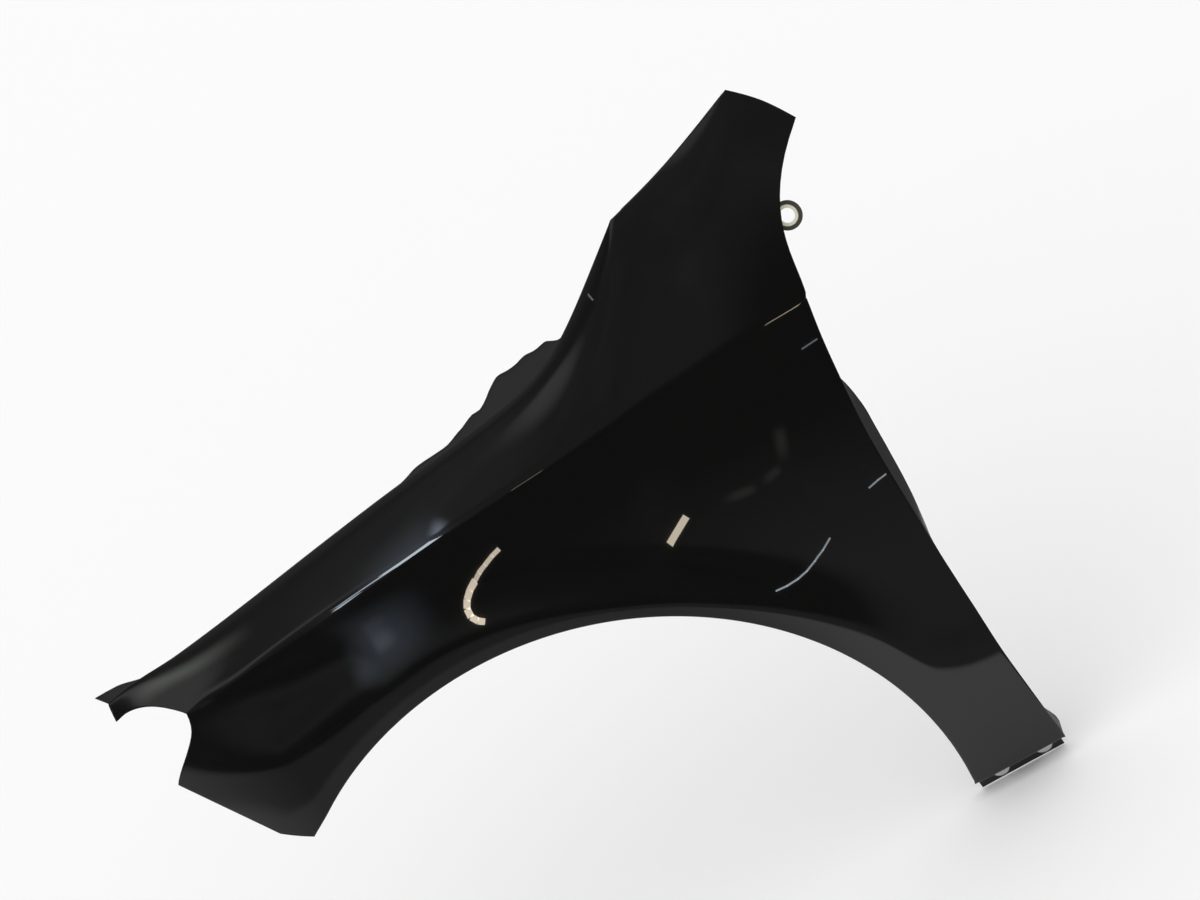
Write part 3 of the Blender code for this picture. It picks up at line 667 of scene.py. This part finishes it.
# ---- The paint ---------------------------------------------------------------------------
# Electrocoat primer, black base coat and clear coat over the whole pressing. The clear coat
# is thin and dull in the folds and inside. Washers kept it off round the ear and sill holes.
BLACK = (0.0024, 0.0024, 0.0022, 1)
FOLD_BLACK = (0.027, 0.027, 0.028, 1)
EAR_GREY = (0.055, 0.058, 0.046, 1)
INSIDE_BLACK = (0.018, 0.018, 0.019, 1)
DUST = (0.10, 0.10, 0.105, 1)
PRIMER = (0.70, 0.66, 0.56, 1)
ZINC = (0.52, 0.53, 0.54, 1)
WASHER_RADIUS = 10.8 * MM
TAB_WASHER_RADIUS = 9.8 * MM
PAINT_EDGE = 1 * MM
RAGGEDNESS = 1.2 * MM
PEEL_SCALE = 230.0
PEEL_DETAIL = 1.0
PEEL_STRENGTH = 0.012
PEEL_DEPTH = 1 * MM
DUST_SCALE = 9.0
DUST_DETAIL = 6.0
DUST_RANGE = (0.52, 0.80)
DUST_SHARE = 0.05
DUST_FILM = 0.35
GRIT_SCALE = 900.0
GRIT_DETAIL = 1.0
GRIT_RANGE = (0.55, 0.85)
ROUGH_PAINT = 0.34
FOLD_ROUGHER = 0.22
DUST_ROUGHER = 0.06
FOLD_COAT = 0.22
COAT_ROUGHNESS = 0.03
COAT_INDEX = 1.5
UNDERCOAT_SHINE = 0.04


class Term:
    """A value in a shader: an output socket whose operators add Math nodes."""

    def __init__(self, tree, socket=None):
        self.tree = tree
        self.socket = socket

    def node(self, kind, settings=(), inputs=(), output=0):
        """Adds a node: its settings first, then the values or links of its sockets."""
        made = self.tree.nodes.new("ShaderNode" + kind)
        for name, value in dict(settings).items():
            setattr(made, name, value)
        for name, value in dict(inputs).items():
            if isinstance(value, Term):
                self.tree.links.new(value.socket, made.inputs[name])
            else:
                made.inputs[name].default_value = value
        return Term(self.tree, made.outputs[output])

    def math(self, operation, left, right):
        """One Math node on two values."""
        return self.node("Math", {"operation": operation}, {0: left, 1: right})

    def __add__(self, other):
        return self.math("ADD", self, other)

    def __sub__(self, other):
        return self.math("SUBTRACT", self, other)

    def __rsub__(self, other):
        return self.math("SUBTRACT", other, self)

    def __mul__(self, other):
        return self.math("MULTIPLY", self, other)

    __radd__ = __add__
    __rmul__ = __mul__

    def between(self, low, high):
        """0 below low and 1 above high, with a smooth rise; low may be the larger."""
        return self.node("MapRange", {"interpolation_type": "SMOOTHSTEP"},
                         {"Value": self, "From Min": low, "From Max": high})

    def noise(self, place, scale, detail=3.0):
        """Cloudy noise about one half, with scale of its cells to a metre."""
        return self.node("TexNoise", (), {"Vector": place, "Scale": scale, "Detail": detail})

    def blend(self, share, first, second):
        """Colour first where share is 0 and second where it is 1."""
        return self.node("Mix", {"data_type": "RGBA"}, {0: share, 6: first, 7: second}, 2)

    def away_from(self, place, centre):
        """Distance of a place from a centre."""
        return self.node("VectorMath", {"operation": "DISTANCE"},
                         {0: place, 1: tuple(centre)}, "Value")


paint = bpy.data.materials.new("black_paint")
paint.use_nodes = True
coat = Term(paint.node_tree)
shader = paint.node_tree.nodes["Principled BSDF"]
place = coat.node("TexCoord", output="Object")
skin = coat.node("Attribute", {"attribute_name": "skin_share"}, output="Fac")
outboard = coat.node("Attribute", {"attribute_name": "outboard_share"}, output="Fac")

ear_row = ear_centre - datum
tab_rows = [centre - datum for centre in sill_centres]
ragged = coat.noise(place, GRIT_SCALE) * RAGGEDNESS


def washer_mark(centre, radius):
    """1 within radius of a centre and 0 outside it, with a ragged edge."""
    return (coat.away_from(place, centre) + ragged).between(radius + PAINT_EDGE, radius)


ear_bare = washer_mark(ear_row, WASHER_RADIUS) * outboard
tab_marks = [washer_mark(row, TAB_WASHER_RADIUS) for row in tab_rows]
tab_bare = (tab_marks[0] + tab_marks[1]) * outboard
bare = ear_bare + tab_bare
dusty = coat.noise(place, DUST_SCALE, DUST_DETAIL).between(*DUST_RANGE)
grit = coat.noise(place, GRIT_SCALE, GRIT_DETAIL).between(*GRIT_RANGE)

colour = coat.blend(skin, FOLD_BLACK, BLACK)
from_ear = coat.away_from(place, ear_row)
on_ear = from_ear.between(EAR_RADIUS + 2 * PAINT_EDGE, EAR_RADIUS + PAINT_EDGE)
colour = coat.blend(on_ear * (1 - skin), colour, EAR_GREY)
colour = coat.blend(outboard, INSIDE_BLACK, colour)
colour = coat.blend(dusty * (DUST_FILM + grit) * DUST_SHARE, colour, DUST)
colour = coat.blend(tab_bare, colour, ZINC)
colour = coat.blend(ear_bare, colour, PRIMER)
rough = ROUGH_PAINT + (1 - skin) * FOLD_ROUGHER + dusty * DUST_ROUGHER
coated = skin * outboard + (1 - skin) * outboard * FOLD_COAT
coated = coated * (1 - bare)
peel = coat.noise(place, PEEL_SCALE, PEEL_DETAIL)
bump = coat.node("Bump", (), {"Strength": PEEL_STRENGTH, "Distance": PEEL_DEPTH, "Height": peel})
for name, term in (("Base Color", colour), ("Roughness", rough),
                   ("Coat Weight", coated), ("Normal", bump)):
    paint.node_tree.links.new(term.socket, shader.inputs[name])
shader.inputs["Specular IOR Level"].default_value = UNDERCOAT_SHINE
shader.inputs["Coat Roughness"].default_value = COAT_ROUGHNESS
shader.inputs["Coat IOR"].default_value = COAT_INDEX
whole.materials.clear()
whole.materials.append(paint)
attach(panel, "root")
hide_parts("fender_panel")

# ---- Floor and room ----------------------------------------------------------------------
# Plain pale floor in soft light. The paint sees a room as a mirror does: a round pool of light
# painted into the floor's colour under the panel, which darkens forwards and outwards into painted
# shade, dark walls, a dim ceiling above, and a faint glow behind the nose. Only the gloss sees the
# painted pool and its painted shade.
FLOOR_REACH = 6.0
FLOOR_GAP = 1 * MM
FLOOR_PALE = (0.97, 0.97, 0.97, 1)
FLOOR_DARK = (0.05, 0.05, 0.05, 1)
FLOOR_NEAR = (0.20, 0.20, 0.20, 1)
FLOOR_NEAR_REACH = 0.85
FLOOR_DARK_REACH = 1.5
POOL_CENTRE = (-0.55, 0.20)
POOL_RADIUS = 0.75
POOL_EDGE = 0.03
POOL_DIM_SHARE = 0.25
POOL_DIM_START = -0.10
POOL_DIM_END = -0.38
WALL_LIGHT = 0.05
CEILING_LIGHT = 0.15
CEILING_RANGE = (0.35, 0.7)
CLUTTER_SHARE = 0.7
CLUTTER_SCALE = 2.6
CLUTTER_DETAIL = 4.0
NOSE_GLOW_WAY = (-126, 42)
NOSE_GLOW_REACH = 16
NOSE_GLOW_LIGHT = 0.35
ROOM_LIGHT = 1.0

floor_z = cad_box[0].z - FLOOR_GAP
floor_corners = [(right * FLOOR_REACH, back * FLOOR_REACH, floor_z)
                 for right, back in ((-1, -1), (1, -1), (1, 1), (-1, 1))]
floor_mesh = bpy.data.meshes.new("floor")
floor_mesh.from_pydata(floor_corners, [], [(0, 1, 2, 3)])
floor = bpy.data.objects.new("floor", floor_mesh)
bpy.context.collection.objects.link(floor)
floor_paint = bpy.data.materials.new("pale_floor")
floor_paint.use_nodes = True
ground = Term(floor_paint.node_tree)
floor_shader = floor_paint.node_tree.nodes["Principled BSDF"]
floor_place = ground.node("TexCoord", output="Object")
# Painted light in the floor's colour, seen by glossy rays only: a pale pool under the panel, dimmed
# forwards, with painted shade round it, grey near and dark far. Camera rays see the floor plain
# pale.
spot = ground.away_from(floor_place, (*POOL_CENTRE, floor_z))
floor_x = ground.node("SeparateXYZ", (), {0: floor_place}, "X")
forward = floor_x.between(POOL_DIM_START, POOL_DIM_END)
painted_light_pool = spot.between(POOL_RADIUS + POOL_EDGE, POOL_RADIUS - POOL_EDGE)
painted_light_pool = painted_light_pool * (1 - forward * (1 - POOL_DIM_SHARE))
in_mirror = ground.node("LightPath", output="Is Glossy Ray")
near_floor = spot.between(FLOOR_DARK_REACH, FLOOR_NEAR_REACH)
painted_floor_shade = ground.blend(near_floor, FLOOR_DARK, FLOOR_NEAR)
ground_colour = ground.blend(in_mirror * (1 - painted_light_pool), FLOOR_PALE, painted_floor_shade)
floor_paint.node_tree.links.new(ground_colour.socket, floor_shader.inputs["Base Color"])
floor_shader.inputs["Roughness"].default_value = 1.0
floor_shader.inputs["Specular IOR Level"].default_value = 0.0
floor_mesh.materials.append(floor_paint)

world = bpy.data.worlds.new("room")
world.use_nodes = True
room = Term(world.node_tree)
background = world.node_tree.nodes["Background"]
facing = room.node("TexCoord", output=0)
upward = room.node("SeparateXYZ", (), {0: facing}, "Z")


def direction(azimuth, elevation):
    """Unit vector at an azimuth a, counted from straight outboard rearwards, and an elevation
    e: sin a cos e to the rear, cos a cos e outboard and sin e up."""
    turn, rise = np.radians((azimuth, elevation))
    return (np.sin(turn) * np.cos(rise), -np.cos(turn) * np.cos(rise), np.sin(rise))


def glow(azimuth, elevation, reach):
    """Soft round patch of the room, 1 at its middle and 0 at reach degrees from it: a smooth
    rise with the cosine of the angle between."""
    middle = direction(azimuth, elevation)
    aim = room.node("VectorMath", {"operation": "DOT_PRODUCT"}, {0: facing, 1: middle}, "Value")
    return aim.between(float(np.cos(np.radians(reach))), 1.0)


ceiling = upward.between(*CEILING_RANGE)
clutter = 1 + (room.noise(facing, CLUTTER_SCALE, CLUTTER_DETAIL) - 0.5) * (2 * CLUTTER_SHARE)
plain_light = (WALL_LIGHT + ceiling * (CEILING_LIGHT - WALL_LIGHT)) * clutter
mirror_light = plain_light + glow(*NOSE_GLOW_WAY, NOSE_GLOW_REACH) * NOSE_GLOW_LIGHT
is_mirror = room.node("LightPath", output="Is Glossy Ray")
strength = ROOM_LIGHT + is_mirror * (mirror_light - ROOM_LIGHT)
world.node_tree.links.new(strength.socket, background.inputs["Strength"])
background.inputs["Color"].default_value = (1, 1, 1, 1)
bpy.context.scene.world = world

# ---- Camera ------------------------------------------------------------------------------
# Seen from far away with a long lens, from the photograph's direction and with its roll. The
# point in the middle of the picture and the width that the picture takes in place it.
VIEW_MIDDLE = (0.1735, 0.2518, 0.3400)
PICTURE_CENTRE = Vector(np.array(VIEW_MIDDLE) - datum)
PICTURE_WIDTH = 1.1779
CAMERA_DISTANCE = 38.0
SENSOR_WIDTH = 36.0
CLIP_REACH = 200.0
VIEW_BACK = (0.188, -0.833, 0.520)
VIEW_RIGHT = (0.860, -0.116, -0.497)
camera_back = Vector(VIEW_BACK).normalized()
camera_right = Vector(VIEW_RIGHT)
camera_up = camera_back.cross(camera_right).normalized()
camera_right = camera_up.cross(camera_back)
camera_data = bpy.data.cameras.new("camera")
camera_data.sensor_width = SENSOR_WIDTH
camera_data.lens = SENSOR_WIDTH * CAMERA_DISTANCE / PICTURE_WIDTH
camera_data.clip_end = CLIP_REACH
camera = bpy.data.objects.new("camera", camera_data)
bpy.context.collection.objects.link(camera)
turn = Matrix((camera_right, camera_up, camera_back)).transposed().to_4x4()
camera.matrix_world = Matrix.Translation(PICTURE_CENTRE + camera_back * CAMERA_DISTANCE) @ turn
bpy.context.scene.camera = camera
bpy.context.scene.view_settings.view_transform = "Standard"

# ---- The lamps ---------------------------------------------------------------------------
# Small lamps close in front of the panel, which show only in its gloss, as streaks and soft
# patches. Each stands where the panel mirrors it into its place in the picture.
PICTURE_PIXELS = (1200, 900)
LAMP_DISTANCE = 0.010
PATCH_DISTANCE = 0.03
OVERLAP = 0.02
CREASE_LAMP_DISTANCE = 0.15
LAMP_SPREAD = np.radians(120)
SOFT_THICKNESS = 10
SOFT_START = 0.3
SOFT_END = 0.45
SOFT_SIDES = 0.5
WARM = (1.0, 0.86, 0.68)
BLUISH = (0.80, 0.90, 1.0)
BLUE = (0.66, 0.80, 1.0)
GREENISH = (0.93, 1.0, 0.90)
# Name, pixels it runs through in the picture, its thickness there in pixels, light and colour
STREAK_PIXELS = (
    ("bar", ((686, 517), (670, 544)), 7, 15, WARM),
    ("hook", ((499, 549), (492, 556), (485, 565), (479, 573), (475, 581)), 4.5, 14, WARM),
    ("hook_foot", ((475, 581), (470, 590), (467, 600), (467, 609), (471, 617), (478, 621),
                   (485, 622)), 7, 16, WARM),
    ("arc", ((830, 538), (823, 550), (815, 561), (807, 571), (798, 579), (787, 586),
             (776, 591)), 1.7, 8, BLUISH),
    ("rear_streak", ((869, 488), (878, 480), (886, 474)), 1.5, 7, BLUISH),
    ("upper_streak", ((802, 349), (817, 339)), 1.5, 3, BLUISH),
    ("edge_mark", ((588, 294), (593, 300)), 1.5, 3, BLUISH),
)
PATCH_PIXELS = (
    ("side_patch", ((350, 684), (432, 590)), 78, 0.9, BLUE),
    ("side_core", ((366, 668), (398, 630)), 30, 1.1, BLUE),
    ("shoulder_patch", ((452, 522), (340, 604)), 46, 1.0, BLUE),
    ("shoulder_spot", ((432, 536), (443, 516)), 14, 2.5, BLUE),
    ("nose_patch", ((126, 706), (256, 622)), 14, 1.1, GREENISH),
    ("smear_upper", ((779, 424), (784, 466)), 20, 0.35, GREENISH),
    ("smear_lower", ((782, 466), (760, 486), (718, 503)), 14, 0.25, GREENISH),
    ("smear_rear", ((908, 494), (862, 564)), 18, 0.25, GREENISH),
)
# Name, its two ends on the crease as shares of LENGTH, the direction of the lamp from each
# (azimuth, elevation), the width of the lamp, light and colour
CREASE_STREAK_SHARES = (
    ("crease_front", -0.094, -0.020, (-45, 36), (-50, 52), 0.030, 12, BLUISH),
    ("crease_front_end", -0.020, 0.040, (-50, 52), (-53, 65), 0.080, 14, BLUISH),
    ("crease_middle", 0.138, 0.177, (-18, 30), (-17, 28), 0.012, 4, WARM),
    ("crease_rear", 0.461, 0.505, (-12, 0), (-12, -9), 0.006, 7, WARM),
)
panel_tree = BVHTree.FromObject(panel, bpy.context.evaluated_depsgraph_get())
lens_place = camera.matrix_world.translation


def mirrored(pixel, distance):
    """Place at a distance from the panel that it mirrors into a pixel: the ray through the
    pixel goes on from the paint as itself less twice its part along the normal."""
    from_middle = np.array(pixel) - np.array(PICTURE_PIXELS) / 2
    across, down = from_middle * PICTURE_WIDTH / PICTURE_PIXELS[0]
    ray = (PICTURE_CENTRE + camera_right * across - camera_up * down - lens_place).normalized()
    hit, _, number, _ = panel_tree.ray_cast(lens_place, ray)
    corners = [whole.vertices[i] for i in whole.polygons[number].vertices]
    shares = poly_3d_calc([corner.co for corner in corners], hit)
    normal = sum((corner.normal * share for corner, share in zip(corners, shares)), Vector())
    normal.normalize()
    return hit + distance * (ray - 2 * ray.dot(normal) * normal), hit


def add_lamp(name, start, end, width, hit, radiance, tint, soft=False):
    """Oblong lamp from start to end that faces a place on the panel. A soft one fades towards
    its four edges. Its power is the radiance times pi times its area, over the gain of its
    narrowed beam: tan(h) / (tan(h) - h) at half the spread, h."""
    light = bpy.data.lights.new(name, "AREA")
    light.shape = "RECTANGLE"
    light.size = (end - start).length
    light.size_y = width
    light.color = tint
    light.spread = LAMP_SPREAD
    gain = np.tan(LAMP_SPREAD / 2) / (np.tan(LAMP_SPREAD / 2) - LAMP_SPREAD / 2)
    light.energy = radiance * np.pi * light.size * width / gain
    if soft:
        light.use_nodes = True
        face = Term(light.node_tree)
        spot = face.node("NewGeometry", output="Parametric")
        u, v = (face.node("SeparateXYZ", (), {0: spot}, axis) for axis in ("X", "Y"))
        fade = u.between(0, SOFT_START) * u.between(1, SOFT_END)
        fade = fade * v.between(0, SOFT_SIDES) * v.between(1, SOFT_SIDES)
        light.node_tree.links.new(fade.socket, light.node_tree.nodes["Emission"].inputs["Strength"])
    along = (end - start).normalized()
    away = (start + end) / 2 - hit
    away = (away - along * away.dot(along)).normalized()
    lamp = bpy.data.objects.new(name, light)
    turn = Matrix((along, away.cross(along), away)).transposed().to_4x4()
    lamp.matrix_world = Matrix.Translation((start + end) / 2) @ turn
    lamp.visible_camera = False
    lamp.visible_diffuse = False
    bpy.context.collection.objects.link(lamp)


for name, pixels, thickness, radiance, tint in STREAK_PIXELS + PATCH_PIXELS:
    soft = thickness > SOFT_THICKNESS
    distance = PATCH_DISTANCE if soft else LAMP_DISTANCE
    for first, second in zip(pixels[:-1], pixels[1:]):
        run = np.subtract(second, first)
        sideways = np.array((-run[1], run[0])) / np.hypot(*run) * thickness / 2
        middle = np.add(first, second) / 2
        lap = run * OVERLAP
        start, end, left, right = (
            mirrored(pixel, distance)[0] for pixel in (
                first - lap, second + lap, middle - sideways, middle + sideways))
        width = right - left
        along = (end - start).normalized()
        width = (width - along * width.dot(along)).length
        add_lamp(name, start, end, width, mirrored(middle, distance)[1], radiance, tint, soft)

crease_line = shoulder[0, crease_from:]
for name, first, second, first_way, second_way, width, radiance, tint in CREASE_STREAK_SHARES:
    roots = [Vector(point_at(crease_line, 0, share * LENGTH) - datum) for share in (first, second)]
    ends = [root + CREASE_LAMP_DISTANCE * Vector(direction(*way))
            for root, way in zip(roots, (first_way, second_way))]
    add_lamp(name, ends[0], ends[1], width, (roots[0] + roots[1]) / 2, radiance, tint)
